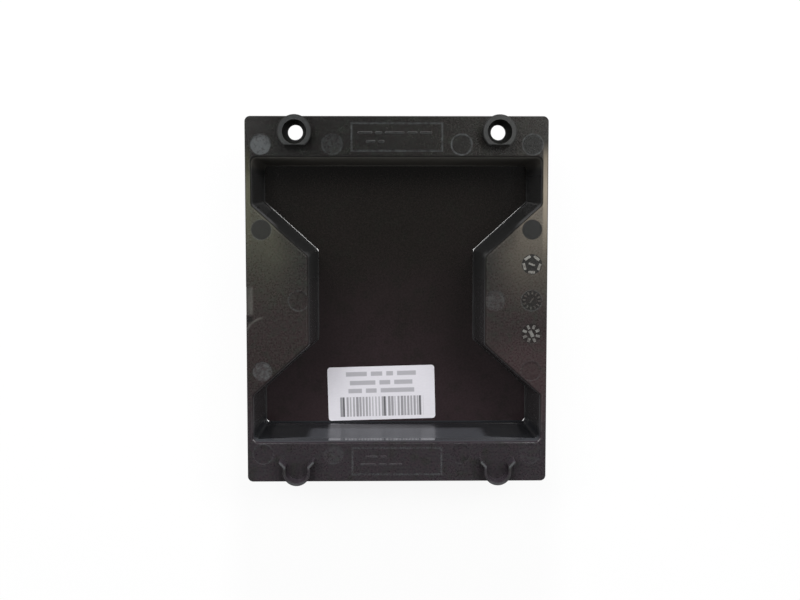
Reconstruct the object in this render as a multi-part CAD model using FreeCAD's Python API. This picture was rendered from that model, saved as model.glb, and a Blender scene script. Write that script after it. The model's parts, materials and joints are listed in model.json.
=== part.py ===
import FreeCAD, Part
import math
import os

# Processor blank: a moulded hourglass tub with a flange, lying on its closed face with the open side up.
# The origin is under the middle of the tub, X runs across the plate and Y along it, in millimetres.

# Plate and hole pattern
plate_width = 83.9
plate_corner_radius = 1.5
plate_edge_bevel = 0.2
flange_thickness = 2.0
hole_spacing = 56.0
row_spacing = 94.0
screw_row = 46.55

# Hourglass recess
recess_depth = 22.2
floor_thickness = 2.0
side_wall = 1.85
end_flange = 11.5
neck_width = 48.9
ear_base_length = 53.4
ear_tip_length = 25.0
draft_angle = 3.6
recess_corner_radius = 1.3
floor_round = 0.4
base_round = 2.0
rim_round = 0.9
parting_step = 0.08

# Screw bosses along the upper edge
screw_hole_radius = 2.1
counterbore_taper = 1.25
boss_wall = 1.35
boss_flat_wall = 0.3
boss_height = 5.0
boss_edge_bevel = 0.25
boss_overhang = 0.2

# Post seats along the lower edge
seat_radius = 3.8
seat_height = 5.0
seat_wall = 0.9
seat_edge_bevel = 0.2
seat_arm_rise = 1.45
wing_length = 1.75
wing_flare_angle = 43.0

# Ejector pin marks
pin_radius = 2.8
pin_depth = 0.12
pin_side_margin = 4.35
pin_neck_gap = 0.12
pin_slant_gap = 0.65
pin_end_gap = 0.9
pin_boss_offset = 10.1

# Bare framed panels on both end flanges
panel_length = 25.4
panel_height = 7.9
panel_line = 0.35
panel_line_depth = 0.12

# Date dials on the right ear, from the upper one to the lower one: places, pointers and the marks round them
dial_radius = 2.85
dial_depth = 0.15
dial_mark_gap = 0.3
dial_places = (10.1, 0.0, -9.3)
dial_pointer_turns = (-20.0, 55.0, -65.0)
dial_pointer_lengths = (1.9, 1.9, 2.0)
dial_pointer_widths = (0.5, 0.35, 1.0)
dial_mark_lengths = (0.75, 0.85, 1.2)
dial_mark_widths = (1.9, 0.45, 0.75)
dial_mark_spacings = (2.73, 1.11, 1.53)

# Broken gate on the left edge
gate_length = 7.8
gate_width = 1.75
gate_depth = 0.55

# Paper label on the floor
label_length = 31.8
label_height = 16.0
label_thickness = 0.12
label_corner_radius = 0.9
label_turn = 1.5
label_shift = -4.3
label_wall_gap = 0.03

# Sizes worked out from the ones above
counterbore_radius = screw_hole_radius + counterbore_taper
boss_radius = counterbore_radius + boss_wall
boss_flat = counterbore_radius + boss_flat_wall
seat_row = row_spacing - screw_row
boss_column = hole_spacing / 2
plate_half_width = plate_width / 2
plate_half_length = screw_row + boss_radius - boss_overhang
recess_half_width = plate_half_width - side_wall
recess_half_length = plate_half_length - end_flange
neck_half_width = neck_width / 2
ear_base = ear_base_length / 2
ear_tip = ear_tip_length / 2
flange_top = floor_thickness + recess_depth
flange_under = flange_top - flange_thickness
boss_top = flange_top + boss_height
seat_top = flange_top + seat_height
draft_slope = math.tan(math.radians(draft_angle))
pin_column = plate_half_width - pin_side_margin
cutter_height = 1.0


def vec(x, y, z=0.0):
    return FreeCAD.Vector(x, y, z)


def rectangle(length, height):
    x = length / 2
    y = height / 2
    return [vec(-x, -y), vec(x, -y), vec(x, y), vec(-x, y)]


def hourglass():
    """Corners of the recess where it meets the flange, anticlockwise from the lower right."""
    right = [(recess_half_width, -recess_half_length), (recess_half_width, -ear_base)]
    right += [(neck_half_width, -ear_tip), (neck_half_width, ear_tip)]
    right += [(recess_half_width, ear_base), (recess_half_width, recess_half_length)]
    left = [(-x, -y) for x, y in right]
    return [vec(x, y) for x, y in right + left]


def corners(points):
    """Each corner of a closed outline with the directions into and out of it."""
    for i, here in enumerate(points):
        into = here.sub(points[i - 1]).normalize()
        out = points[(i + 1) % len(points)].sub(here).normalize()
        yield here, into, out


def inset(points, distance):
    """Move every side of an anticlockwise outline inward by the same distance."""
    moved = []
    for here, into, out in corners(points):
        left_in = vec(-into.y, into.x)
        left_out = vec(-out.y, out.x)
        reach = distance / (1 + left_in.dot(left_out))
        moved.append(here + (left_in + left_out) * reach)
    return moved


def polygon(points):
    return Part.makePolygon(points + points[:1])


def rounded(points, radius):
    """Closed level wire with an arc at every corner of a convex outline."""
    arcs = []
    for here, into, out in corners(points):
        half_turn = into.getAngle(out) / 2
        run = radius * math.tan(half_turn)
        depth = radius / math.cos(half_turn) - radius
        middle = here + (out - into).normalize() * depth
        arcs.append([here - into * run, middle, here + out * run])
    edges = []
    for i, (start, middle, end) in enumerate(arcs):
        edges.append(Part.Arc(start, middle, end).toShape())
        edges.append(Part.makeLine(end, arcs[(i + 1) % len(arcs)][0]))
    return Part.Wire(edges)


def prism(wire, height, z=0.0):
    solid = Part.Face(wire).extrude(vec(0, 0, height))
    solid.translate(vec(0, 0, z))
    return solid


def turned(profile, x, y):
    """Solid of revolution about the upright axis at (x, y) from a list of (radius, height)."""
    section = Part.Face(polygon([vec(r, 0, z) for r, z in profile]))
    solid = section.revolve(vec(0, 0), vec(0, 0, 1), 360)
    solid.translate(vec(x, y))
    return solid


def level_edges(shape, z):
    """Edges that lie wholly in the level plane at height z."""
    boxes = [(edge, edge.BoundBox) for edge in shape.Edges]
    return [edge for edge, box in boxes if abs(box.ZMin - z) < 1e-4 and abs(box.ZMax - z) < 1e-4]


def drafted_block(top_inset, top_z, low_z):
    """Hourglass block whose flat walls close in towards its low face by the draft angle."""
    low_inset = top_inset + (top_z - low_z) * draft_slope
    top = [p + vec(0, 0, top_z) for p in inset(hourglass(), top_inset)]
    low = [p + vec(0, 0, low_z) for p in inset(hourglass(), low_inset)]
    walls = [polygon([low[i - 1], low[i], top[i], top[i - 1]]) for i in range(len(top))]
    return Part.Solid(Part.Shell([Part.Face(wire) for wire in walls + [polygon(top), polygon(low)]]))


def upright_edges(shape, at_neck):
    """Edges that run from the bottom to the top of a block, either at the neck or out at the ends."""
    halfway = (recess_half_width + neck_half_width) / 2
    tall = [edge for edge in shape.Edges if edge.BoundBox.ZLength > shape.BoundBox.ZLength / 2]
    return [edge for edge in tall if (abs(edge.CenterOfMass.x) < halfway) == at_neck]


def flange_plate():
    outline = rectangle(2 * plate_half_width, 2 * plate_half_length)
    plate = prism(rounded(outline, plate_corner_radius), flange_thickness, flange_under)
    return plate.makeChamfer(plate_edge_bevel, level_edges(plate, flange_top))


def tub_outside():
    """Outer block of the tub, one wall away from the recess, rooted halfway up the plate."""
    root = flange_top - flange_thickness / 2
    root_inset = parting_step - side_wall + (flange_top - root) * draft_slope
    block = drafted_block(root_inset, root, 0.0)
    block = block.makeFillet(base_round, upright_edges(block, False) + level_edges(block, 0.0))
    return block.makeFillet(recess_corner_radius, upright_edges(block, True))


def tub_hollow():
    """The recess itself, carried a little above the flange so that it cuts clean."""
    block = drafted_block(-cutter_height * draft_slope, flange_top + cutter_height, floor_thickness)
    block = block.makeFillet(recess_corner_radius, upright_edges(block, False))
    block = block.makeFillet(recess_corner_radius, upright_edges(block, True))
    return block.makeFillet(floor_round, level_edges(block, floor_thickness))


def moulded_tub():
    """Plate and tub in one, hollowed out, with the rim of the recess rounded over."""
    tub = flange_plate().fuse(tub_outside()).cut(tub_hollow()).removeSplitter()
    rim = []
    for edge in level_edges(tub, flange_top):
        box = edge.BoundBox
        across = max(-box.XMin, box.XMax)
        along = max(-box.YMin, box.YMax)
        if across < recess_half_width + side_wall / 4 and along < recess_half_length + side_wall / 4:
            rim.append(edge)
    return tub.makeFillet(rim_round, rim)


def screw_boss(x):
    """Round post with a flat on the side of the recess and a softened top edge."""
    post = Part.makeCylinder(boss_radius, boss_top - flange_under, vec(x, screw_row, flange_under))
    reach = 2 * boss_radius
    corner = vec(x - reach, screw_row - boss_flat - reach, flange_top)
    post = post.cut(Part.makeBox(2 * reach, reach, boss_height + cutter_height, corner))
    return post.makeChamfer(boss_edge_bevel, level_edges(post, boss_top))


def screw_bore(x):
    """Funnel from the top of the boss down to the flange's level, then the screw hole."""
    low = flange_under - cutter_height
    high = boss_top + cutter_height
    profile = [(0, low), (screw_hole_radius, low), (screw_hole_radius, flange_top)]
    profile += [(counterbore_radius, boss_top), (counterbore_radius, high), (0, high)]
    return turned(profile, x, screw_row)


def post_seat(x):
    """Thin horseshoe wall, open towards the recess, with both arms flared into wings."""
    arm_x = seat_radius - seat_wall / 2
    flare = math.radians(wing_flare_angle)
    tip_x = arm_x + wing_length * math.sin(flare)
    tip_y = seat_arm_rise + wing_length * math.cos(flare)
    right = [vec(tip_x, tip_y), vec(arm_x, seat_arm_rise), vec(arm_x, 0)]
    left = [vec(-p.x, p.y) for p in reversed(right)]
    arms = [Part.makeLine(start, end) for side in (right, left) for start, end in zip(side, side[1:])]
    bow = Part.Arc(right[-1], vec(0, -arm_x), left[0]).toShape()
    outline = Part.Wire(arms[:2] + [bow] + arms[2:]).makeOffset2D(seat_wall / 2)
    seat = prism(outline, seat_top - flange_under)
    seat.translate(vec(x, -seat_row, flange_under))
    return seat.makeChamfer(seat_edge_bevel, level_edges(seat, seat_top))


def pin_places():
    """Centres of the ejector pin marks, alike in all four quarters of the flange."""
    end_row = recess_half_length + pin_end_gap + pin_radius
    inner_column = boss_column - pin_boss_offset
    neck_column = neck_half_width + pin_neck_gap + pin_radius
    slant_run = recess_half_width - neck_half_width
    slant_rise = ear_base - ear_tip
    slant_y = ear_tip + (pin_column - neck_half_width) * slant_rise / slant_run
    ear_row = slant_y - (pin_slant_gap + pin_radius) * math.hypot(slant_run, slant_rise) / slant_run
    places = []
    for across in (-1, 1):
        places.append((across * neck_column, 0.0))
        for along in (-1, 1):
            places.append((across * pin_column, along * end_row))
            places.append((across * inner_column, along * end_row))
            places.append((across * pin_column, along * ear_row))
    return places


def sink(cutter, depth, x, y):
    """Place a cutter drawn about the origin so that it sinks into the flange face."""
    cutter.translate(vec(x, y, flange_top - depth))
    return cutter


def pin_marks():
    return [sink(Part.makeCylinder(pin_radius, cutter_height), pin_depth, x, y) for x, y in pin_places()]


def panel_lines():
    """Fine outline of the bare panel in the middle of each end flange."""
    middle = plate_half_length - end_flange / 2
    lines = []
    for along in (-1, 1):
        outer = rectangle(panel_length, panel_height)
        inner = prism(polygon(inset(outer, panel_line)), cutter_height)
        frame = prism(polygon(outer), cutter_height).cut(inner)
        lines.append(sink(frame, panel_line_depth, 0.0, along * middle))
    return lines


def dial(turn, pointer_length, pointer_width, mark_length, mark_width, mark_spacing):
    """Sunk disc with a pointer bar and a circle of marks left standing in it."""
    pointer = prism(polygon(rectangle(pointer_length, pointer_width)), cutter_height)
    mark_reach = dial_radius - dial_mark_gap - mark_length / 2
    count = round(2 * math.pi * mark_reach / mark_spacing)
    cutter = Part.makeCylinder(dial_radius, cutter_height).cut(pointer)
    for i in range(count):
        mark = prism(polygon(rectangle(mark_length, mark_width)), cutter_height)
        mark.translate(vec(mark_reach, 0))
        mark.rotate(vec(0, 0), vec(0, 0, 1), 360.0 * i / count)
        cutter = cutter.cut(mark)
    cutter.rotate(vec(0, 0), vec(0, 0, 1), turn)
    return cutter


def dials():
    pointers = zip(dial_pointer_turns, dial_pointer_lengths, dial_pointer_widths)
    marks = zip(dial_mark_lengths, dial_mark_widths, dial_mark_spacings)
    sunk = []
    for y, pointer, mark in zip(dial_places, pointers, marks):
        sunk.append(sink(dial(*pointer, *mark), dial_depth, pin_column, y))
    return sunk


def gate_break():
    """Slanted break in the left edge where the gate was snapped off."""
    edge = -plate_half_width
    outside = edge - cutter_height
    steepness = gate_depth / gate_width
    section = [vec(edge + gate_width, 0, flange_top)]
    section.append(vec(outside, 0, flange_top - gate_depth - cutter_height * steepness))
    section.append(vec(outside, 0, flange_top + cutter_height))
    section.append(vec(edge + gate_width, 0, flange_top + cutter_height))
    wedge = Part.Face(polygon(section)).extrude(vec(0, gate_length, 0))
    wedge.translate(vec(0, -gate_length / 2))
    return wedge


def blank_body():
    """The whole moulding as one solid."""
    body = moulded_tub()
    for x in (-boss_column, boss_column):
        body = body.fuse(screw_boss(x)).fuse(post_seat(x))
    body = body.removeSplitter()
    bores = [screw_bore(x) for x in (-boss_column, boss_column)]
    for cutter in bores + pin_marks() + panel_lines() + dials() + [gate_break()]:
        body = body.cut(cutter)
    return body.removeSplitter()


def label():
    """Paper label lying on the floor a little askew, its lowest corner just clear of the floor's round."""
    sheet = prism(rounded(rectangle(label_length, label_height), label_corner_radius), label_thickness)
    sheet.rotate(vec(0, 0), vec(0, 0, 1), label_turn)
    floor_half_length = recess_half_length - recess_depth * draft_slope
    lowest = -floor_half_length + floor_round + label_wall_gap
    sheet.translate(vec(label_shift, lowest - sheet.BoundBox.YMin, floor_thickness))
    return sheet


os.makedirs("parts", exist_ok=True)
for name, shape in (("blank_body", blank_body()), ("label", label())):
    shape.exportStep(f"parts/{name}.step")
    print(name, "valid:", shape.isValid(), "solids:", len(shape.Solids), "mm3:", round(shape.Volume, 1))
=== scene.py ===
# %% [markdown]
# # Dressing a processor socket blank
#
# The object is one black moulding: a flange plate around a deep hourglass tub, with two screw bosses at one
# end, two flared post seats at the other, and a paper label on the tub's floor. The solids come ready made
# and at their real size. What is left for Blender is what the eye reads as plastic and paper: grain, polish,
# scuffs, print and light. The lesson goes from sizes to finishes, then to small raised work, floor and lamps.

# %% Load the solids
import json
import math
from types import SimpleNamespace

import bpy
import numpy as np
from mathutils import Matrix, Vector


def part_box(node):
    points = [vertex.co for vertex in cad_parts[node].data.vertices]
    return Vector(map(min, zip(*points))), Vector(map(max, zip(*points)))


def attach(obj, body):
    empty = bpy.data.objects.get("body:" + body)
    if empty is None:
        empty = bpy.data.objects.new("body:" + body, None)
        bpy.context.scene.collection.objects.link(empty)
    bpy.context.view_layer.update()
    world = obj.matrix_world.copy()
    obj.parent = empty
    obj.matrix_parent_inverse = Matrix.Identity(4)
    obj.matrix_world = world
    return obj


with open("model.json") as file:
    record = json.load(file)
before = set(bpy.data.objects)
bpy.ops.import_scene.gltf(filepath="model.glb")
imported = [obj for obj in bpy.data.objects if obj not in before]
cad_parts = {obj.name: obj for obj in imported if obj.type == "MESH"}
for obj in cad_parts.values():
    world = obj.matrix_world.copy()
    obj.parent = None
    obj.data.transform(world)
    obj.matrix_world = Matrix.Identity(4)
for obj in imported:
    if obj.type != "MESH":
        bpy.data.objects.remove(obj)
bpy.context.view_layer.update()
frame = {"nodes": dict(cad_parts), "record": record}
print("solids:", sorted(frame["nodes"]))

# %% [markdown]
# ## Sizes in millimetres
#
# A moulder thinks in millimetres and Blender in metres. One factor joins the two. The main levels, such as
# the plate's face or the tub's floor, are read from the solids and from the record's mounts. The places of
# smaller marks are named where they are first needed.

# %% Read the levels from the frame
MM = 0.001
body_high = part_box("blank_body")[1] / MM
label_low, label_high = (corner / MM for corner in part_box("label"))
mounts = {mount["name"]: mount for mount in frame["record"]["mounts"]}
boss_height = 5.0
boss_top = body_high.z
plate_face = boss_top - boss_height
plate_half_width = body_high.x
tub_floor = label_low.z
screw_row = mounts["screw_holes"]["pos_m"][1] / MM
screw_column = mounts["screw_holes"]["dims"]["spacing_x_mm"] / 2
print(f"plate face {plate_face:.2f}, tub floor {tub_floor:.2f}, screw row {screw_row:.2f} mm")

# %% [markdown]
# ## Shader arithmetic that reads like arithmetic
#
# A finish is a sum of small masks: here it is polished, there it is scuffed. Wiring each sum by hand hides
# the idea, so one small class wraps a socket, and Python's operators on it add the Math nodes. One method
# adds every other node: its settings are set first, and then its sockets get values or links.

# %% A socket that can be added, multiplied and raised
class Wire:
    """One output socket. An operator on it adds a Math node and gives that node's output."""

    def __init__(self, finish, socket):
        self.finish = finish
        self.socket = socket

    def __add__(self, other):
        return self.finish.math("ADD", self, other)

    def __sub__(self, other):
        return self.finish.math("SUBTRACT", self, other)

    def __rsub__(self, other):
        return self.finish.math("SUBTRACT", other, self)

    def __mul__(self, other):
        return self.finish.math("MULTIPLY", self, other)

    def __truediv__(self, other):
        return self.finish.math("DIVIDE", self, other)

    def __pow__(self, other):
        return self.finish.math("POWER", self, other)

    def __abs__(self):
        return self.finish.math("ABSOLUTE", self)

    __radd__ = __add__
    __rmul__ = __mul__


print("a socket now takes + - * / ** and abs")


# %% A finish: one material's nodes
class Finish:
    """A node tree under construction, for a material or for the world."""

    def __init__(self, tree):
        self.tree = tree
        self.tree.nodes.clear()

    def node(self, kind, settings=None, sockets=None, output=0):
        """Adds a node of that kind: its settings first, then its sockets, which take values or wires."""
        made = self.tree.nodes.new("ShaderNode" + kind)
        for name, value in (settings or {}).items():
            setattr(made, name, value)
        for key, value in (sockets or {}).items():
            if isinstance(value, Wire):
                self.tree.links.new(value.socket, made.inputs[key])
            else:
                made.inputs[key].default_value = value
        return Wire(self, made.outputs[output]) if made.outputs else None

    def math(self, operation, *values):
        return self.node("Math", {"operation": operation}, dict(enumerate(values)))

    def least(self, one, other):
        return self.math("MINIMUM", one, other)

    def most(self, first, *others):
        for other in others:
            first = self.math("MAXIMUM", first, other)
        return first

    def step(self, value, start, end):
        """0 before start, 1 after end, and a smooth rise between them. Start may be the larger one."""
        sockets = {"Value": value, "From Min": start, "From Max": end}
        return self.node("MapRange", {"interpolation_type": "SMOOTHSTEP"}, sockets)

    def between(self, value, low, high, soft):
        """1 from low to high, with soft edges outside that stretch."""
        return self.step(value, low - soft, low) * self.step(value, high + soft, high)

    def away(self, x, y, from_x, from_y):
        """How far a place lies from an upright axis."""
        return self.math("SQRT", (x - from_x) ** 2.0 + (y - from_y) ** 2.0)

    def blend(self, share, one, other):
        """Share 0 gives the first colour, share 1 the other."""
        return self.node("Mix", {"data_type": "RGBA"}, {0: share, 6: one, 7: other}, output=2)

    def noise(self, spot, scale, detail=2.0, roughness=0.5, stretch=None):
        """Cloudy noise from 0 to 1. Scale is the number of clouds to one unit of the place."""
        if stretch:
            spot = self.node("VectorMath", {"operation": "MULTIPLY"}, {0: spot, 1: stretch})
        sockets = {"Vector": spot, "Scale": scale, "Detail": detail, "Roughness": roughness}
        return self.node("TexNoise", {}, sockets)

    def split(self, vector):
        """The three numbers of a vector."""
        separate = self.node("SeparateXYZ", {}, {0: vector})
        return [Wire(self, output) for output in separate.socket.node.outputs]


print("a finish can add:", [name for name in vars(Finish) if not name.startswith("_")])


# %% Helpers for materials
def new_material(name):
    material = bpy.data.materials.new(name)
    material.use_nodes = True
    return material, Finish(material.node_tree)


def paint(red, green, blue):
    """A colour in picture values from 0 to 255, made linear for a shader by the sRGB curve."""
    shares = np.array([red, green, blue]) / 255
    linear = np.where(shares > 0.04045, ((shares + 0.055) / 1.055) ** 2.4, shares / 12.92)
    return (*linear.tolist(), 1.0)


def place_in_mm(finish):
    """Where a point lies on the object, in millimetres: the vector and its three numbers."""
    coordinate = finish.node("TexCoord", {}, {}, output="Object")
    spot = finish.node("VectorMath", {"operation": "SCALE"}, {0: coordinate, "Scale": 1 / MM})
    return spot, *finish.split(spot)


print("shader helpers ready, a dark grey as paint:", [round(part, 4) for part in paint(43, 42, 41)])

# %% [markdown]
# ## Black moulded plastic
#
# The blank comes from one shot of black plastic, but its mould had two finishes. The plate's face was eroded
# to a fine matt grain, while the tub's core was polished so that the part would slip off. A single black
# would lose that, and a painted image would not survive another view. Masks worked out from each point's
# place and facing tell the zones apart, and every zone gets its own colour, gloss and grain. A pair of
# numbers below is a fade: its mask is 0 at the first number and 1 at the second.

# %% Fades between the zones: facing as a share of straight up, and heights in millimetres
level_facing, steep_facing = (0.80, 0.97), (0.80, 0.55)
edge_facing, edge_end, rim_facing = (0.30, 0.50), (0.999, 0.985), (0.999, 0.97)
inward_facing, diagonal_facing = (-0.5, -3.0), (0.01, 0.04)
plate_heights = (plate_face - 0.9, plate_face - 0.4)
rim_heights = (plate_face - 1.0, plate_face - 1.3)
wall_top = (plate_face + 0.3, plate_face + 0.1)
floor_heights = (tub_floor + 1.2, tub_floor + 0.8)
foot_heights = (tub_floor + 0.6, tub_floor + 0.4)
ring_heights = (boss_top - 0.5, boss_top - 0.2)
tub_reach, bore_radius = 41.5, 3.35
tub_end = (tub_reach + 0.5, tub_reach)
bore_edge = (bore_radius + 0.1, bore_radius - 0.05)
pocket_x, pocket_y = (34.5, 36.5), (33.5, 35.5)
print(f"foot rounds end {foot_heights[0]:.2f} mm up, walls end {wall_top[0]:.2f} mm up")


# %% Zones of the moulding
def zones(finish):
    """Masks from a point's place and facing. Level faces are told apart by their height. Tub walls look
    inward: the sum of place times facing, over x and y, is negative there. Slopes face both x and y."""
    spot, x, y, z = place_in_mm(finish)
    across, along, up = finish.split(finish.node("NewGeometry", {}, {}, output="Normal"))
    level = finish.step(up, *level_facing)
    high = finish.step(z, *plate_heights)
    inward = finish.step(across * x + along * y, *inward_facing) * finish.step(abs(y), *tub_end)
    under_rim = finish.most(finish.step(z, *rim_heights), finish.step(up, *steep_facing))
    from_screw = finish.away(abs(x), y, screw_column, screw_row)
    mask = SimpleNamespace(spot=spot, x=x, y=y, z=z)
    mask.plate = level * high
    mask.floor = level * finish.step(z, *floor_heights)
    mask.wall = inward * under_rim * finish.step(z, *wall_top)
    mask.edge = finish.step(up, *edge_facing) * finish.step(up, *edge_end) * high
    mask.rim = inward * high * finish.step(up, *rim_facing)
    mask.foot = inward * finish.step(z, *foot_heights)
    mask.slope = finish.step(abs(across * along), *diagonal_facing)
    mask.corner = finish.step(abs(x), *pocket_x) * finish.step(abs(y), *pocket_y)
    mask.ring = level * finish.step(z, *ring_heights)
    mask.bore = finish.step(from_screw, *bore_edge)
    return mask


print("zones: plate, floor, walls and their feet, edge, rim, slopes, corners, rings and bores")

# %% [markdown]
# Moulded plastic is never even. Broad clouds and patches shift its tint, a mottle breaks up what is rubbed,
# and a fine grain gives the matt plate its tooth. The core was pulled straight out, so the tub's walls carry
# fine upright marks: the same noise, stretched tall. All of it is worked out over the part's own millimetres,
# so it stays on the part in every view.

# %% Noises over the part
# Each noise: its clouds to a millimetre, its detail and its roughness.
noise_looks = {
    "clouds": (0.07, 3.0, 0.5),
    "patches": (0.30, 2.0, 0.5),
    "mottle": (0.9, 3.0, 0.7),
    "grain": (1.9, 2.0, 0.6),
}
speck_grain, uneven_mottle = (0.30, 0.70), (0.30, 0.70)
drawn_scale, upright = 1.6, (1.0, 1.0, 0.05)


def add_noises(finish, mask):
    """The listed noises, sharper masks made from two of them by a fade, and the walls' upright marks."""
    for name, look in noise_looks.items():
        setattr(mask, name, finish.noise(mask.spot, *look))
    mask.specks = finish.step(mask.grain, *speck_grain)
    mask.uneven = finish.step(mask.mottle, *uneven_mottle)
    mask.drawn = finish.noise(mask.spot, drawn_scale, stretch=upright) * mask.wall


print("noises, from coarse to fine:", list(noise_looks))

# %% [markdown]
# Some stretches have a finish of their own: dust and a painted sheen on the ears, a painted sheen along the
# thin side strips, a ruddy cast on the lower right ear, painted highlights on the seats' wings and tips.
# The tub's end wall by the seats is hazy in its middle, and the rim over it is as polished as the tub. A
# stretch is a product of fades along and across the part, which is cheaper than painting and easy to shift.

# %% Stretches with a finish of their own, in millimetres
left_to_right = (-20.0, 20.0)
ear_x, ear_low, ear_high = (23.0, 36.0), (-8.0, 24.0), (40.0, 30.0)
strip_x, strip_low, strip_high = (40.2, 40.9), (8.0, 34.0), (44.5, 38.5)
upper_end_y = (30.0, 41.0)
ruddy_x, ruddy_low, ruddy_high, ruddy_soft = (23.0, 34.0), -30.0, -16.0, 8.0
end_wall_y = (-35.0, -37.5)
haze_low, haze_high, haze_soft = tub_floor + 3.0, plate_face - 3.6, 0.8
low_rim_y = (-36.0, -38.0)
upper_slope_x, upper_slope_y, lower_corner_y = (38.0, 35.5), (2.0, 8.0), (-20.0, -30.0)
seat_y, wing_y, seat_tip_y = (0.0, -20.0), (-46.8, -45.9), (-49.4, -50.4)


def add_stretches(finish, mask):
    """Masks of the stretches. The feet of the upper slopes and of the lower corners are the bright ones."""
    x, y, side = mask.x, mask.y, abs(mask.x)
    mask.right = finish.step(x, *left_to_right)
    mask.ear = finish.step(side, *ear_x) * finish.step(y, *ear_low) * finish.step(y, *ear_high)
    mask.strip = finish.step(side, *strip_x) * finish.step(y, *strip_low) * finish.step(y, *strip_high)
    mask.upper_end = finish.step(y, *upper_end_y)
    mask.upper_right = mask.upper_end * mask.right
    ruddy = finish.step(side, *ruddy_x) * finish.between(y, ruddy_low, ruddy_high, ruddy_soft)
    mask.ruddy = mask.right * ruddy * mask.plate
    mask.end_wall = mask.wall * finish.step(y, *end_wall_y)
    mask.hazy = mask.end_wall * finish.between(mask.z, haze_low, haze_high, haze_soft)
    mask.polished = finish.most(mask.floor, mask.wall, mask.rim * finish.step(y, *low_rim_y))
    mask.upper_slope = finish.step(y, *upper_slope_y) * finish.step(side, *upper_slope_x)
    lower_corner = mask.corner * finish.step(y, *lower_corner_y)
    mask.bright_foot = mask.foot * mask.slope * finish.most(mask.upper_slope, lower_corner)
    mask.seat = finish.step(y, *seat_y)
    mask.wing = mask.seat * finish.step(y, *wing_y)
    mask.seat_tip = finish.step(y, *seat_tip_y)


print(f"haze on the end wall from {haze_low:.1f} to {haze_high:.1f} mm up")

# %% [markdown]
# Round ejector pins pushed the part out of its mould and left shallow discs, and three date dials stand on
# the right ear. No two discs look alike: some come out paler than the plate, some darker, some show only a
# rubbed outline. One list gives each disc's place, tone and outline, and one loop turns it into two masks. In
# a dial the height tells the sunk ground, which stays dark, from the marks left standing, which are rubbed.

# %% Ejector pin marks and dials
pin_radius, dial_radius = 2.8, 2.85
outline_half, outline_soft = 0.1, 0.25
dial_heights = (plate_face - 0.05, plate_face - 0.11)
corner_pin_x, corner_pin_y = 37.6, 43.25
inner_pin_x, ear_pin_y, neck_pin_x = 17.9, 19.77, 27.37
# Each pin: its place, its tone (paler above 0, darker below) and how much its outline is rubbed.
pin_looks = [
    (-corner_pin_x, corner_pin_y, 1.2, 0.15),
    (-inner_pin_x, corner_pin_y, 0.15, 0.20),
    (inner_pin_x, corner_pin_y, -0.30, 0.60),
    (corner_pin_x, corner_pin_y, -0.70, 0.55),
    (-corner_pin_x, ear_pin_y, -0.75, 0.25),
    (corner_pin_x, ear_pin_y, -1.0, 0.0),
    (-neck_pin_x, 0.0, -0.10, 0.22),
    (neck_pin_x, 0.0, 0.21, 0.10),
    (-corner_pin_x, -ear_pin_y, 0.47, 0.0),
    (corner_pin_x, -ear_pin_y, -0.10, 0.12),
    (-corner_pin_x, -corner_pin_y, -0.05, 0.25),
    (-inner_pin_x, -corner_pin_y, 0.15, 0.12),
    (inner_pin_x, -corner_pin_y, -0.05, 0.10),
    (corner_pin_x, -corner_pin_y, 0.05, 0.15),
]
# Each dial: its row, how dark its ground is, and how much its outline and its marks are rubbed.
dial_looks = [(10.1, 0.75, 0.0, 0.50), (0.0, 0.55, 0.25, 0.08), (-9.3, 0.30, 0.0, 0.45)]


def outlined_disc(finish, mask, centre, radius):
    """Masks of a disc on the plate's face and of the outline round it, from the distance to its centre."""
    away = finish.away(mask.x, mask.y, *centre)
    disc = finish.step(away, radius + outline_half, radius - outline_soft)
    outline = finish.between(away, radius - outline_half, radius + outline_half, outline_soft)
    return disc * mask.plate, outline * mask.plate


def discs(finish, mask):
    """How much paler or darker pin marks and dials make the plate, and where dial marks are rubbed."""
    paler, darker, rubbed = 0.0, 0.0, 0.0
    for pin_x, pin_y, tone, outline in pin_looks:
        disc, rim = outlined_disc(finish, mask, (pin_x, pin_y), pin_radius)
        paler = rim * outline + disc * max(tone, 0.0) + paler
        darker = disc * max(-tone, 0.0) + darker
    sunk = finish.step(mask.z, *dial_heights)
    for dial_y, ground, outline, marks in dial_looks:
        disc, rim = outlined_disc(finish, mask, (corner_pin_x, dial_y), dial_radius)
        paler = rim * outline + paler
        darker = disc * sunk * ground + darker
        rubbed = disc * (1 - sunk) * marks + rubbed
    return finish.least(paler, 1.0), finish.least(darker, 1.0), rubbed


print("pin marks:", len(pin_looks), "dials:", len(dial_looks))

# %% [markdown]
# A fine sunk frame marks off a panel at both ends of the plate. Its lines are paler. The distance from
# a rectangle, taken along the nearer axis, gives the frame's mask in one formula for both panels.

# %% Panel frames
panel_row, panel_half_length, panel_half_height = 45.3, 12.7, 3.95
panel_line, panel_line_soft = 0.35, 0.15


def panel_frames(finish, mask):
    """Mask of both frames: high where the distance from the panel's outline is within the line's width."""
    past_end = abs(mask.x) - panel_half_length
    past_side = abs(abs(mask.y) - panel_row) - panel_half_height
    return finish.between(finish.most(past_end, past_side), -panel_line, 0.0, panel_line_soft)


print(f"panels: {2 * panel_half_length:.1f} by {2 * panel_half_height:.1f} mm")

# %% [markdown]
# The gate, where the melt came in, was snapped off at the left edge. Black plastic turns whitish where it is
# overstrained, so the torn notch is pale, and a curved stress line runs from it into the plate. A circle's
# equation draws the line: the mask is high where the distance from the centre is close to the radius.

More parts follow.
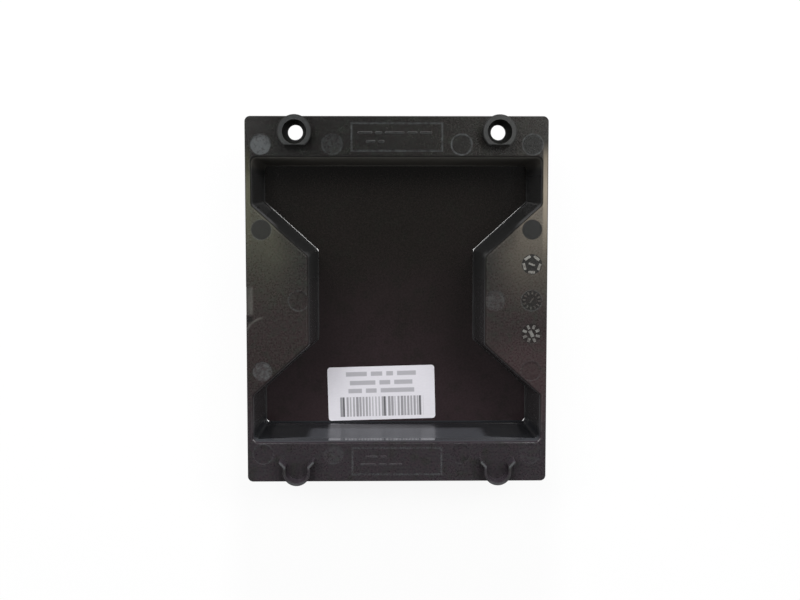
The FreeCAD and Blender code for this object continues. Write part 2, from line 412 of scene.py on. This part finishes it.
# %% Torn gate and stress line
gate_half_length, gate_width, gate_edge_soft, gate_end_soft = 3.9, 1.75, 0.5, 0.4
gate_heights = (plate_face - 1.4, plate_face - 0.9)
gate_outer_share, gate_inner_share = 0.3, 0.7
torn_scale, torn_detail, torn_stretch = 0.6, 3.0, (1.6, 0.5, 1.0)
notch_least, notch_torn, line_least, line_torn = 0.1, 0.5, 0.05, 0.40
stress_centre, stress_radius = (-36.36, -10.64), 6.0
stress_width, stress_x = (0.50, 0.05), (-36.6, -38.6)
stress_start, stress_end, stress_soft = -8.3, -4.6, 0.4
dull_start, dull_end, dull_soft = -5.6, -4.6, 0.5


def gate_whitening(finish, mask):
    """Masks of the strained plastic, which is the torn notch with the curved line beside it, and of the
    dull spot between the two."""
    x, y, edge = mask.x, mask.y, -plate_half_width
    inner_edge = edge + gate_width
    near_edge = finish.step(x, inner_edge + gate_edge_soft, inner_edge - gate_edge_soft)
    notch = finish.step(abs(y), gate_half_length + gate_end_soft, gate_half_length - gate_end_soft)
    notch = near_edge * notch * finish.step(mask.z, *gate_heights)
    notch = notch * (gate_outer_share + gate_inner_share * finish.step(x, edge, inner_edge))
    away = finish.away(x, y, *stress_centre)
    line = finish.step(abs(away - stress_radius), *stress_width) * finish.step(x, *stress_x)
    line = line * finish.between(y, stress_start, stress_end, stress_soft) * mask.plate
    torn = finish.noise(mask.spot, torn_scale, torn_detail, stretch=torn_stretch)
    dull = near_edge * finish.between(y, dull_start, dull_end, dull_soft) * mask.plate
    return notch * (notch_least + notch_torn * torn) + line * (line_least + line_torn * torn), dull


print(f"gate scar: {2 * gate_half_length:.1f} mm long, stress line of radius {stress_radius:.1f} mm")

# %% [markdown]
# The marks are gathered here, so that colour and gloss can both use them. The mottle breaks every pale mark
# up, so that none is even. The crowns of small raised bars in the panels are told by height.

# %% All marks on the plate
frame_paleness, bar_paleness = 0.48, 0.16
bar_heights, bar_soft = (plate_face + 0.03, plate_face + 0.1), 0.02
paleness_least, paleness_uneven = 0.4, 1.2


def add_marks(finish, mask):
    """Masks of what is paler, darker, rubbed, strained white or dull on the plate."""
    paler, mask.darker, mask.rubbed = discs(finish, mask)
    paler = paler + frame_paleness * panel_frames(finish, mask) * mask.plate
    paler = paler + bar_paleness * finish.between(mask.z, *bar_heights, bar_soft)
    mask.paler = finish.least(paler * (paleness_least + paleness_uneven * mask.uneven), 1.0)
    mask.white, mask.dull_spot = gate_whitening(finish, mask)


print(f"paleness: panel frames {frame_paleness}, raised bars {bar_paleness}")

# %% [markdown]
# ## The plastic's colours
#
# The colours below lie under the gloss. The plate turns from a darker, neutral black at the bosses to a
# paler, ruddy one at the seats. The floor does the same, and its darker upper end is painted shade of the
# top wall. That top wall, which faces the seats, is painted light. Clouds push those borders about, and
# green patches break them up, so no border runs straight.

# %% Ground colours of plate, floor and walls
plate_upper, plate_middle, plate_lower = paint(10, 9, 8), paint(30, 22, 22), paint(34, 29, 34)
# The floor's upper colour is darker as painted shade of the top wall; the lower one is ruddy.
shaded_floor_upper, floor_lower = paint(22, 20, 17), paint(44, 34, 37)
green_patch = paint(22, 25, 20)
upper_wall, lower_wall = paint(48, 48, 48), paint(60, 59, 60)
# The top wall's colour is paler than the other walls' as painted light.
top_wall_painted_light, end_wall = paint(74, 72, 68), paint(42, 43, 46)
warm_grain, cool_grain = paint(126, 108, 110), paint(108, 118, 108)
plate_drift, floor_drift = 16.0, 30.0
low_ears_y, low_end_y, low_floor_y = (14.0, -12.0), (-20.0, -42.0), (25.0, -40.0)
green_patches, plate_green, floor_green = (0.50, 0.70), 0.5, 0.3
lower_wall_y, top_wall_y = (10.0, -2.0), (36.0, 38.0)
floor_specks = 0.03


def ground_colour(finish, mask):
    """Colours along the part from the bosses to the seats, with borders shifted by clouds, in millimetres."""
    drift = mask.clouds - 0.5
    low_ears = finish.step(mask.y + drift * plate_drift, *low_ears_y)
    low_end = finish.step(mask.y + drift * plate_drift, *low_end_y)
    low_floor = finish.step(mask.y + drift * floor_drift, *low_floor_y)
    green = finish.step(mask.patches, *green_patches)
    plate = finish.blend(low_ears, plate_upper, plate_middle)
    plate = finish.blend(low_end, plate, plate_lower)
    plate = finish.blend(green * plate_green, plate, green_patch)
    # Painted shade darkens the floor towards the top wall; towards the seats it turns ruddy.
    floor = finish.blend(low_floor, shaded_floor_upper, floor_lower)
    floor = finish.blend(green * floor_green, floor, green_patch)
    wall = finish.blend(finish.step(mask.y, *lower_wall_y), upper_wall, lower_wall)
    wall = finish.blend(mask.end_wall, wall, end_wall)
    # The top wall is painted light.
    wall = finish.blend(finish.step(mask.y, *top_wall_y), wall, top_wall_painted_light)
    colour = finish.blend(mask.floor, plate, floor)
    colour = finish.blend(floor_specks * mask.specks * mask.floor, colour, warm_grain)
    return finish.blend(mask.wall, colour, wall)


print(f"the plate reflects {plate_upper[0]:.4f} of red at the bosses, {plate_lower[0]:.4f} at the seats")

# %% [markdown]
# Dust and a painted sheen lie on the grain of the plate but not in the dark discs: dust with painted sheen
# on the ears and the upper end, painted sheen alone on the side strips. All of it is stronger and warmer on
# the right, and olive on the left. Shares stay small: a bloom is seen through, not painted over.

# %% Grain, dust and painted sheen
# Colours of the dust and painted sheen, olive on the left and warmer on the right, then the ruddy cast.
left_dust_and_sheen, right_dust_and_sheen, ruddy_bloom = paint(142, 142, 112), paint(148, 138, 122), paint(160, 118, 128)
# Shares: dust with a painted sheen on the ears and the upper end, painted sheen alone on the side strips.
ear_dust_and_sheen, ear_dust_and_sheen_right = 0.10, 0.14
strip_sheen, strip_sheen_right = 0.08, 0.40
dust_and_sheen_least, dust_and_sheen_clouds = 0.6, 0.8
end_dust_and_sheen, end_dust_and_sheen_x = 0.02, (-10.0, 40.0)
grain_tints, grain_share, grain_less = (0.35, 0.65), 0.08, 0.035
ruddy_share = 0.03


def dust_and_painted_sheen(finish, mask, colour):
    """Adds pale grain, then dust with painted sheen on ears and upper end, and painted sheen on the strips.
    Last comes the ruddy cast.
    """
    # Dust with a painted sheen on the ears and the upper end, painted sheen alone on the side strips.
    dust_and_sheen = mask.ear * (ear_dust_and_sheen + ear_dust_and_sheen_right * mask.right) * (dust_and_sheen_least + dust_and_sheen_clouds * mask.clouds)
    dust_and_sheen = dust_and_sheen + mask.strip * (strip_sheen + strip_sheen_right * mask.right)
    dust_and_sheen = dust_and_sheen + end_dust_and_sheen * mask.upper_end * finish.step(mask.x, *end_dust_and_sheen_x)
    open_plate = mask.plate * (1 - mask.darker)
    grains = finish.blend(finish.step(mask.mottle, *grain_tints), warm_grain, cool_grain)
    speckled = mask.specks * open_plate * (grain_share - grain_less * mask.upper_end)
    colour = finish.blend(speckled, colour, grains)
    colour = finish.blend(dust_and_sheen * open_plate, colour, finish.blend(mask.right, left_dust_and_sheen, right_dust_and_sheen))
    return finish.blend(ruddy_share * mask.ruddy, colour, ruddy_bloom)


print(f"dust on the ears: {ear_dust_and_sheen:.2f} left, {ear_dust_and_sheen + ear_dust_and_sheen_right:.2f} right")

# %% [markdown]
# Marks come last, because they cut through the bloom. The rings on top of the bosses get a little painted
# highlight. Of the seats' rings only the flared wings and the outermost tip get a painted highlight,
# and the arms stay dim. The funnels of the bores are painted dark as shade.

# %% Marks, painted highlights on rings, painted shade in bores
pale_mark, dark_mark, rubbed_mark = paint(112, 116, 118), paint(14, 15, 13), paint(150, 150, 146)
# The second colour here is painted shade for the funnels of the bores.
strained, bore_shade = paint(150, 152, 144), paint(10, 10, 8)
pale_share, dark_share, strained_share = 0.36, 0.8, 0.36
rubbed_least, rubbed_uneven = 0.2, 0.9
# Shares of painted highlight: on the boss rings, less on the seats' arms, more on their wings and tips.
ring_highlight, seat_dimness, wing_highlight, tip_highlight = 0.13, 0.09, 0.29, 0.18


def marked(finish, mask, colour):
    """Adds pale and dark marks, painted highlights on rings, rubbed dial marks, the strained gate, and
    painted shade in the bores.
    """
    # A painted highlight on the rings, less on the seats' arms, more on their wings and outermost tips.
    ring = ring_highlight - seat_dimness * mask.seat + wing_highlight * mask.wing + tip_highlight * mask.seat_tip
    colour = finish.blend(mask.paler * pale_share, colour, pale_mark)
    colour = finish.blend(mask.ring * ring, colour, pale_mark)
    colour = finish.blend(finish.most(mask.darker, mask.dull_spot) * dark_share, colour, dark_mark)
    colour = finish.blend(mask.rubbed * (rubbed_least + rubbed_uneven * mask.uneven), colour, rubbed_mark)
    colour = finish.blend(mask.white * strained_share, colour, strained)
    # The funnels of the bores are painted dark as shade.
    return finish.blend(mask.bore * (1 - mask.ring), colour, bore_shade)


print(f"ring paleness: bosses {ring_highlight:.2f}, the seats' arms {ring_highlight - seat_dimness:.2f}")

# %% [markdown]
# ## Gloss and wear
#
# Roughness matters as much as colour here. The matt plate spreads a lamp's light, while the polished tub
# stays dark and mirrors the label. Each roughness is a start value plus a weight for every mask, so a table
# of weights says it all.

# %% Roughness from weighted masks
matt_start, gloss_start = 0.16, 0.10
matt_weights = {
    "clouds": 0.08, "mottle": 0.08, "grain": 0.10, "strip": -0.08, "paler": -0.04, "darker": 0.05,
    "upper_end": -0.07, "upper_right": 0.02, "edge": 0.30, "bore": 0.45, "white": 0.2,
}
gloss_weights = {"clouds": 0.04, "wall": 0.10, "drawn": 0.04, "end_wall": -0.14, "hazy": 0.20}


def weighted(mask, start, weights):
    """The start value plus the sum of weight times mask."""
    return sum((weight * getattr(mask, name) for name, weight in weights.items()), start)


def plastic_roughness(mask):
    """The matt sum on the plate and the gloss sum in the tub."""
    matt = weighted(mask, matt_start, matt_weights)
    gloss = weighted(mask, gloss_start, gloss_weights)
    return matt * (1 - mask.polished) + gloss * mask.polished


print("masks in the roughness:", len(matt_weights), "on the plate,", len(gloss_weights), "in the tub")

# %% [markdown]
# Small rounds catch every lamp and would outline the whole tub in white. On the real part most of them look
# dull, and only the feet of the upper slopes and the lower corners shine. One shader's specular level has to
# be the same all over, so two plastics are mixed: a shiny one, whose coat lies on the bright feet alone, and
# a dull one wherever a round or a wall is worn. The largest of several masks gives the dull one's share.

# %% Worn rounds
upper_rim_y, rim_dullness = (-36.0, -30.0), 0.6
top_foot_x, top_foot_y, top_foot_gloss = (36.5, 35.0), (33.0, 36.0), 0.6
pocket_dullness, slope_dullness, haze_dullness = 0.7, 0.85, 0.32


def worn_rounds(finish, mask):
    """The largest of the dull shares: feet, upper rim, pocket corners, upper slopes, haze and funnels."""
    top_foot = top_foot_gloss * finish.step(mask.y, *top_foot_y) * finish.step(abs(mask.x), *top_foot_x)
    above_foot = mask.wall * (1 - mask.foot)
    return finish.most(
        mask.foot * (1 - mask.bright_foot) * (1 - top_foot),
        rim_dullness * mask.rim * finish.step(mask.y, *upper_rim_y),
        pocket_dullness * mask.corner * above_foot,
        slope_dullness * mask.upper_slope * above_foot,
        haze_dullness * mask.hazy,
        mask.bore * (1 - mask.ring),
    )


print(f"dull shares: rim {rim_dullness}, pockets {pocket_dullness}, slopes {slope_dullness}")

# %% [markdown]
# All of it meets in one material. A fine bump gives the plate its grain and the walls their upright marks.
# Both plastics share colour and bump, and only the shiny one's roughness and coat vary.

# %% The plastic, shiny and dull
drawn_relief, cloud_relief = 0.25, 0.08
relief = {"Strength": 0.35, "Distance": 0.02 * MM}
shiny_sockets = {"Specular IOR Level": 0.4, "Coat Roughness": 0.30, "Coat IOR": 3.4}
dull_sockets = {"Specular IOR Level": 0.08, "Roughness": 0.8}


def black_plastic():
    """Fine matt grain on the plate, polish in the tub, pin discs, strained gate, and dust with painted sheen
    on the ears. The rings carry painted highlights and the bores painted shade.
    """
    material, finish = new_material("black_moulded_plastic")
    mask = zones(finish)
    add_noises(finish, mask)
    add_stretches(finish, mask)
    add_marks(finish, mask)
    colour = marked(finish, mask, dust_and_painted_sheen(finish, mask, ground_colour(finish, mask)))
    height = mask.grain * (1 - mask.polished) + drawn_relief * mask.drawn + cloud_relief * mask.clouds
    bump = finish.node("Bump", {}, {**relief, "Height": height})
    surface = {"Base Color": colour, "Normal": bump}
    varied = {"Roughness": plastic_roughness(mask), "Coat Weight": mask.bright_foot}
    shiny = finish.node("BsdfPrincipled", {}, {**surface, **varied, **shiny_sockets})
    dull = finish.node("BsdfPrincipled", {}, {**surface, **dull_sockets})
    shader = finish.node("MixShader", {}, {0: worn_rounds(finish, mask), 1: shiny, 2: dull})
    finish.node("OutputMaterial", {}, {"Surface": shader})
    return material


plastic = black_plastic()
frame["nodes"]["blank_body"].data.materials[0] = plastic
print("plastic nodes:", len(plastic.node_tree.nodes))

# %% [markdown]
# ## The paper label
#
# A small coated label lies a little askew on the tub's floor. Its print is plain: three rows of grey bars,
# and a field of upright bars under them. An image would blur close up. Bars worked out from the label's own
# coordinates stay sharp at any distance, and a fixed noise makes the upright ones uneven.

# %% Label coordinates
label_turn = math.radians(1.5)
label_centre = (label_low + label_high) / 2


def label_place(finish):
    """The place on the label in millimetres, from its centre and along its own edges: vector, x and y."""
    coordinate = finish.node("TexCoord", {}, {}, output="Object")
    sockets = {"Location": label_centre * MM, "Rotation": (0.0, 0.0, label_turn), "Scale": (MM, MM, MM)}
    spot = finish.node("Mapping", {"vector_type": "TEXTURE"}, {"Vector": coordinate, **sockets})
    return spot, *finish.split(spot)[:2]


def soft_bar(finish, value, middle, half, soft):
    """1 within half a width of the middle, with soft edges on both sides of that line."""
    return finish.step(abs(value - middle), half + soft, half - soft)


print(f"label centre {label_centre.x:.2f}, {label_centre.y:.2f} mm")

# %% Rows of bars
# Each row: its height over the label's centre, and its bars' lengths.
print_rows = [(5.8, [6.2, 3.4, 2.0, 5.6]), (3.15, [7.6, 3.2, 5.4]), (0.75, [4.0, 3.2, 10.0])]
row_height, row_gap = 1.3, 1.2
row_soft_x, row_soft_y = 0.08, 0.1


def row_bars(finish, x, y):
    """Three centred rows of plain bars."""
    ink = 0.0
    for row, lengths in print_rows:
        left = -(sum(lengths) + row_gap * (len(lengths) - 1)) / 2
        for length in lengths:
            bar = soft_bar(finish, x, left + length / 2, length / 2, row_soft_x)
            ink = bar * soft_bar(finish, y, row, row_height / 2, row_soft_y) + ink
            left += length + row_gap
    return ink


print("row bars:", [len(lengths) for row, lengths in print_rows])

# %% Upright bars
field_low, field_high, field_half = -6.9, -1.1, 12.4
field_soft_x, field_soft_y = 0.03, 0.06
bar_pitch, bar_soft_edge = 0.95, 0.04
bar_width_least, bar_width_chance = 0.40, 0.42
bar_ink_least, bar_ink_chance = 0.42, 0.30
dark_bars, dark_bar_half, dark_bar_soft = (-11.3, 0.9, 11.4), 0.26, 0.05


def upright_bars(finish, x, y):
    """Each pitch has one pale bar, as wide as a fixed noise says, and a few dark bars stand out."""
    cell = finish.math("FLOOR", x / bar_pitch)
    chance = finish.node("TexWhiteNoise", {"noise_dimensions": "1D"}, {"W": cell})
    past = x / bar_pitch - cell - (bar_width_least + bar_width_chance * chance)
    ink = finish.step(past, bar_soft_edge, -bar_soft_edge) * (bar_ink_least + bar_ink_chance * chance)
    for middle in dark_bars:
        ink = finish.most(ink, soft_bar(finish, x, middle, dark_bar_half, dark_bar_soft))
    field = finish.step(abs(x), field_half + field_soft_x, field_half - field_soft_x)
    return ink * field * finish.between(y, field_low, field_high, field_soft_y)


print(f"upright bars: about {2 * field_half / bar_pitch:.0f}")

# %% The label's finish
paper_shade, paper_light = paint(226, 224, 231), paint(236, 234, 241)
row_ink, row_ink_share = paint(98, 98, 104), 0.5
bar_ink, bar_ink_share = paint(48, 48, 52), 0.9
paper_roughness, fibre_roughness = 0.48, 0.1
fibre_scale, fibre_detail, fibre_stretch = 1.8, 3.0, (0.5, 1.4, 1.0)
fibre_relief = {"Strength": 0.15, "Distance": 0.01 * MM}


def label_paper():
    """Coated paper with a lavender cast, grey row bars, darker upright bars and a faint fibre grain."""
    material, finish = new_material("label_paper_print")
    spot, x, y = label_place(finish)
    fibre = finish.noise(spot, fibre_scale, fibre_detail, stretch=fibre_stretch)
    colour = finish.blend(fibre, paper_shade, paper_light)
    colour = finish.blend(row_bars(finish, x, y) * row_ink_share, colour, row_ink)
    colour = finish.blend(upright_bars(finish, x, y) * bar_ink_share, colour, bar_ink)
    bump = finish.node("Bump", {}, {**fibre_relief, "Height": fibre})
    roughness = paper_roughness + fibre_roughness * (fibre - 0.5)
    sockets = {"Base Color": colour, "Roughness": roughness, "Normal": bump}
    shader = finish.node("BsdfPrincipled", {}, sockets)
    finish.node("OutputMaterial", {}, {"Surface": shader})
    return material


paper = label_paper()
frame["nodes"]["label"].data.materials[0] = paper
print("label nodes:", len(paper.node_tree.nodes))

# %% [markdown]
# ## Raised bars in the framed panels
#
# Each framed panel carries a few small raised bars. They could be bump, but a low lamp shows their edges, so
# they are real. Each bar is a stadium with a domed top: one parameter runs round its outline, the other
# climbs from its foot to its crown, and whole arrays give every point at once.

# %% One bar as a grid
bar_width, bar_rise, bar_sink = 0.9, 0.05, 0.03
outline_steps, dome_steps = 20, 4
dome_end = 0.8 * math.pi / 2


def domed_bar(length):
    """Points of a bar on a grid. Outline: half circles of the bar's width joined by straight sides.
    Dome: the half circle's radius shrinks with the cosine, and the height grows with the sine, of v."""
    u = np.linspace(0, 2 * np.pi, outline_steps, endpoint=False) + np.pi / outline_steps
    v = np.linspace(0, dome_end, dome_steps)[:, None]
    ends = np.sign(np.cos(u)) * (length - bar_width) / 2
    radius = bar_width / 2 * np.cos(v)
    across = ends + radius * np.cos(u)
    along = radius * np.sin(u)
    rise = -bar_sink + (bar_rise + bar_sink) * np.sin(v) + 0 * u
    return np.stack([across, along, rise], axis=-1)


def ring_faces(rings, steps):
    """Quads between neighbouring rings of a closed grid, then one face over the last ring and the first."""
    row, column = np.meshgrid(np.arange(rings - 1), np.arange(steps), indexing="ij")
    following = (column + 1) % steps
    corners = [row * steps + column, row * steps + following]
    corners += [(row + 1) * steps + following, (row + 1) * steps + column]
    quads = np.stack(corners, axis=-1).reshape(-1, 4).tolist()
    crown = list(range((rings - 1) * steps, rings * steps))
    foot = list(range(steps - 1, -1, -1))
    return [*quads, crown, foot]


print("one bar:", outline_steps * dome_steps, "points,", len(ring_faces(dome_steps, outline_steps)), "faces")


# %% Bars of both panels
def add_mesh(name, points, faces, material):
    """A mesh object at the origin, with its place in its points."""
    mesh = bpy.data.meshes.new(name)
    mesh.from_pydata(points.tolist(), [], faces)
    mesh.materials.append(material)
    piece = bpy.data.objects.new(name, mesh)
    bpy.context.scene.collection.objects.link(piece)
    return piece


bar_gap = 0.55
# Each row: its place along the part, where its first bar starts, and its bars' lengths.
panel_bars = [
    (panel_row + 1.2, -10.9, [4.2, 2.2, 5.6, 3.0, 3.6]),
    (panel_row - 1.2, -8.6, [2.8, 1.9]),
    (-panel_row + 1.2, -8.8, [3.4, 2.0]),
    (-panel_row - 1.0, -10.4, [4.6, 2.4, 3.8]),
]
bar_points, bar_faces = [], []
for row, left, lengths in panel_bars:
    for length in lengths:
        first = len(bar_points) * outline_steps * dome_steps
        bar_points.append(domed_bar(length).reshape(-1, 3) + (left + length / 2, row, plate_face))
        bar_faces += [[first + corner for corner in face] for face in ring_faces(dome_steps, outline_steps)]
        left += length + bar_gap
panel_work = add_mesh("panel_bars", np.concatenate(bar_points) * MM, bar_faces, plastic)
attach(panel_work, "root")
print("panel bars:", len(bar_points), "faces:", len(bar_faces))

# %% [markdown]
# ## Floor and room
#
# The part lies with its open side up on a white sheet. The sheet has to look white without throwing more
# light on the part, so rays from the camera and from glossy or clear surfaces see mostly a white glow, and a
# share of plain pale paper stays in to keep the part's shadow. All other rays meet the pale paper alone.

# %% White sheet
sheet_radius, sheet_drop = 4.0, 0.02 * MM
sheet_shade, sheet_light, sheet_mottle = paint(228, 228, 228), paint(234, 234, 234), 40.0
white = (1.0, 1.0, 1.0, 1.0)
glow_share = 0.92


def white_sheet():
    """Pale diffuse paper, which shows itself to direct sight as a white glow with a faint shadow."""
    material, finish = new_material("white_sheet")
    spot = finish.node("TexCoord", {}, {}, output="Object")
    shade = finish.blend(finish.noise(spot, sheet_mottle), sheet_shade, sheet_light)
    pale = finish.node("BsdfDiffuse", {}, {"Color": shade})
    glow = finish.node("Emission", {}, {"Color": white, "Strength": 1.0})
    rays = ["Is Camera Ray", "Is Glossy Ray", "Is Transmission Ray"]
    direct = finish.most(*(finish.node("LightPath", {}, {}, output=ray) for ray in rays))
    shader = finish.node("MixShader", {}, {0: direct * glow_share, 1: pale, 2: glow})
    finish.node("OutputMaterial", {}, {"Surface": shader})
    return material


def round_sheet(radius, level, rings=12, steps=48, inner=0.05):
    """A flat disc as a grid. A ring's radius grows with the square of v, which runs from inner to 1, so that
    rings are fine near the part. The face over the outer ring is dropped, and the others turn to look up."""
    angle = np.linspace(0, 2 * np.pi, steps, endpoint=False)
    reach = radius * np.linspace(inner, 1, rings)[:, None] ** 2
    points = np.stack([reach * np.cos(angle), reach * np.sin(angle), level + 0 * reach * angle], axis=-1)
    faces = ring_faces(rings, steps)
    faces.pop(-2)
    return points.reshape(-1, 3), [face[::-1] for face in faces]


floor_sheet = add_mesh("floor_sheet", *round_sheet(sheet_radius, -sheet_drop), white_sheet())
sheet_faces = floor_sheet.data.polygons
print("floor faces:", len(sheet_faces), "first normal", tuple(sheet_faces[0].normal))

# %% [markdown]
# The room is a bench with a grey board behind it and a brighter one before it, dim overhead and to the sides.
# A dim ceiling keeps the polished tub black, because that is what its floor mirrors, while the boards light
# its end walls.

# %% Room light
back_board, front_board, room_sides, room_ceiling = 0.55, 1.2, 0.30, 0.15
back_fade, front_fade, ceiling_fade = (0.25, 0.75), (-0.25, -0.75), (0.24, 0.62)
world = bpy.data.worlds.new("room")
world.use_nodes = True
bpy.context.scene.world = world
room = Finish(world.node_tree)
onward, upward = room.split(room.node("TexCoord", {}, {}, output="Generated"))[1:]
low_down = room_sides + (back_board - room_sides) * room.step(onward, *back_fade)
low_down = low_down + (front_board - room_sides) * room.step(onward, *front_fade)
strength = low_down + (room_ceiling - low_down) * room.step(upward, *ceiling_fade)
backdrop = room.node("Background", {}, {"Color": white, "Strength": strength})
room.node("OutputWorld", {}, {"Surface": backdrop})
print("room nodes:", len(world.node_tree.nodes))

# %% [markdown]
# ## Lamps
#
# Two broad strip softboxes stand high beyond the screw bosses, left and right. A large lamp draws a smooth
# line along a small round, so the feet of the tub's upper slopes shine as they do on the real part. Two
# square softboxes further to the sides lift the ears, and two small panels close to the plate give them their
# sheen. A low window beyond the bosses shines over the rim onto the end wall by the seats. It is kept out of
# reflections, where so small a lamp would glare. Each lamp is set by the brightness that it gives a white
# card which faces it, and the law of squares turns that into watts.

# %% Lamps by direction and brightness
target = Vector((0.0, 0.0, plate_face * MM))


def lamp(name, azimuth, elevation, distance, size, brightness):
    """An area lamp. Azimuth turns from +Y towards +X. Watts grow with pi squared times distance squared."""
    turn, lift = math.radians(azimuth), math.radians(elevation)
    away = Vector((math.sin(turn) * math.cos(lift), math.cos(turn) * math.cos(lift), math.sin(lift)))
    data = bpy.data.lights.new(name, "AREA")
    data.shape = "RECTANGLE"
    data.size, data.size_y = size
    data.energy = brightness * math.pi ** 2 * distance ** 2
    made = bpy.data.objects.new(name, data)
    made.location = target + away * distance
    made.rotation_mode = "QUATERNION"
    made.rotation_quaternion = away.to_track_quat("Z", "Y")
    made.visible_camera = False
    bpy.context.scene.collection.objects.link(made)
    return made


softbox_distance, window_distance = 0.90, 0.80
strip_size, side_size, panel_size, window_size = (0.16, 0.40), (0.25, 0.25), (0.03, 0.03), (0.06, 0.02)
# Each lamp: azimuth and elevation in degrees, distance and size in metres, brightness.
lamp_plan = {
    "right_strip": (38.2, 60.0, softbox_distance, strip_size, 0.225),
    "left_strip": (-36.0, 60.0, softbox_distance, strip_size, 0.245),
    "right_side": (62.0, 52.0, softbox_distance, side_size, 0.25),
    "left_side": (-62.0, 52.0, softbox_distance, side_size, 0.20),
    "right_panel": (72.8, 62.4, 0.226, panel_size, 0.048),
    "left_panel": (-71.8, 63.7, 0.223, panel_size, 0.035),
    "low_window": (0.0, 10.0, window_distance, window_size, 2.05),
}
lamps = {name: lamp(name, *plan) for name, plan in lamp_plan.items()}
lamps["low_window"].visible_glossy = False
print("lamps:", list(lamps))

# %% [markdown]
# ## Camera
#
# The camera stands over the part, a little beyond its middle, and looks slightly back. The lens and the place
# were worked out from the plate's corners, the boss rings and the tub's edges, so that this view and the
# photograph's lie on each other.

# %% Camera over the part
camera_place = Vector((-5.28, 28.92, 374.07))
camera_tilt, camera_swing = -4.69, -1.004
lens_pixels, picture_pixels, sensor_width = 1260.0, 800.0, 36.0
camera_data = bpy.data.cameras.new("camera")
camera_data.sensor_width = sensor_width
camera_data.lens = lens_pixels / picture_pixels * sensor_width
camera_data.clip_start = 0.01
camera = bpy.data.objects.new("camera", camera_data)
camera.location = camera_place * MM
camera.rotation_euler = (math.radians(camera_tilt), math.radians(camera_swing), 0.0)
bpy.context.scene.collection.objects.link(camera)
bpy.context.scene.camera = camera
bpy.context.scene.view_settings.view_transform = "Standard"
print(f"lens {camera_data.lens:.1f} mm")
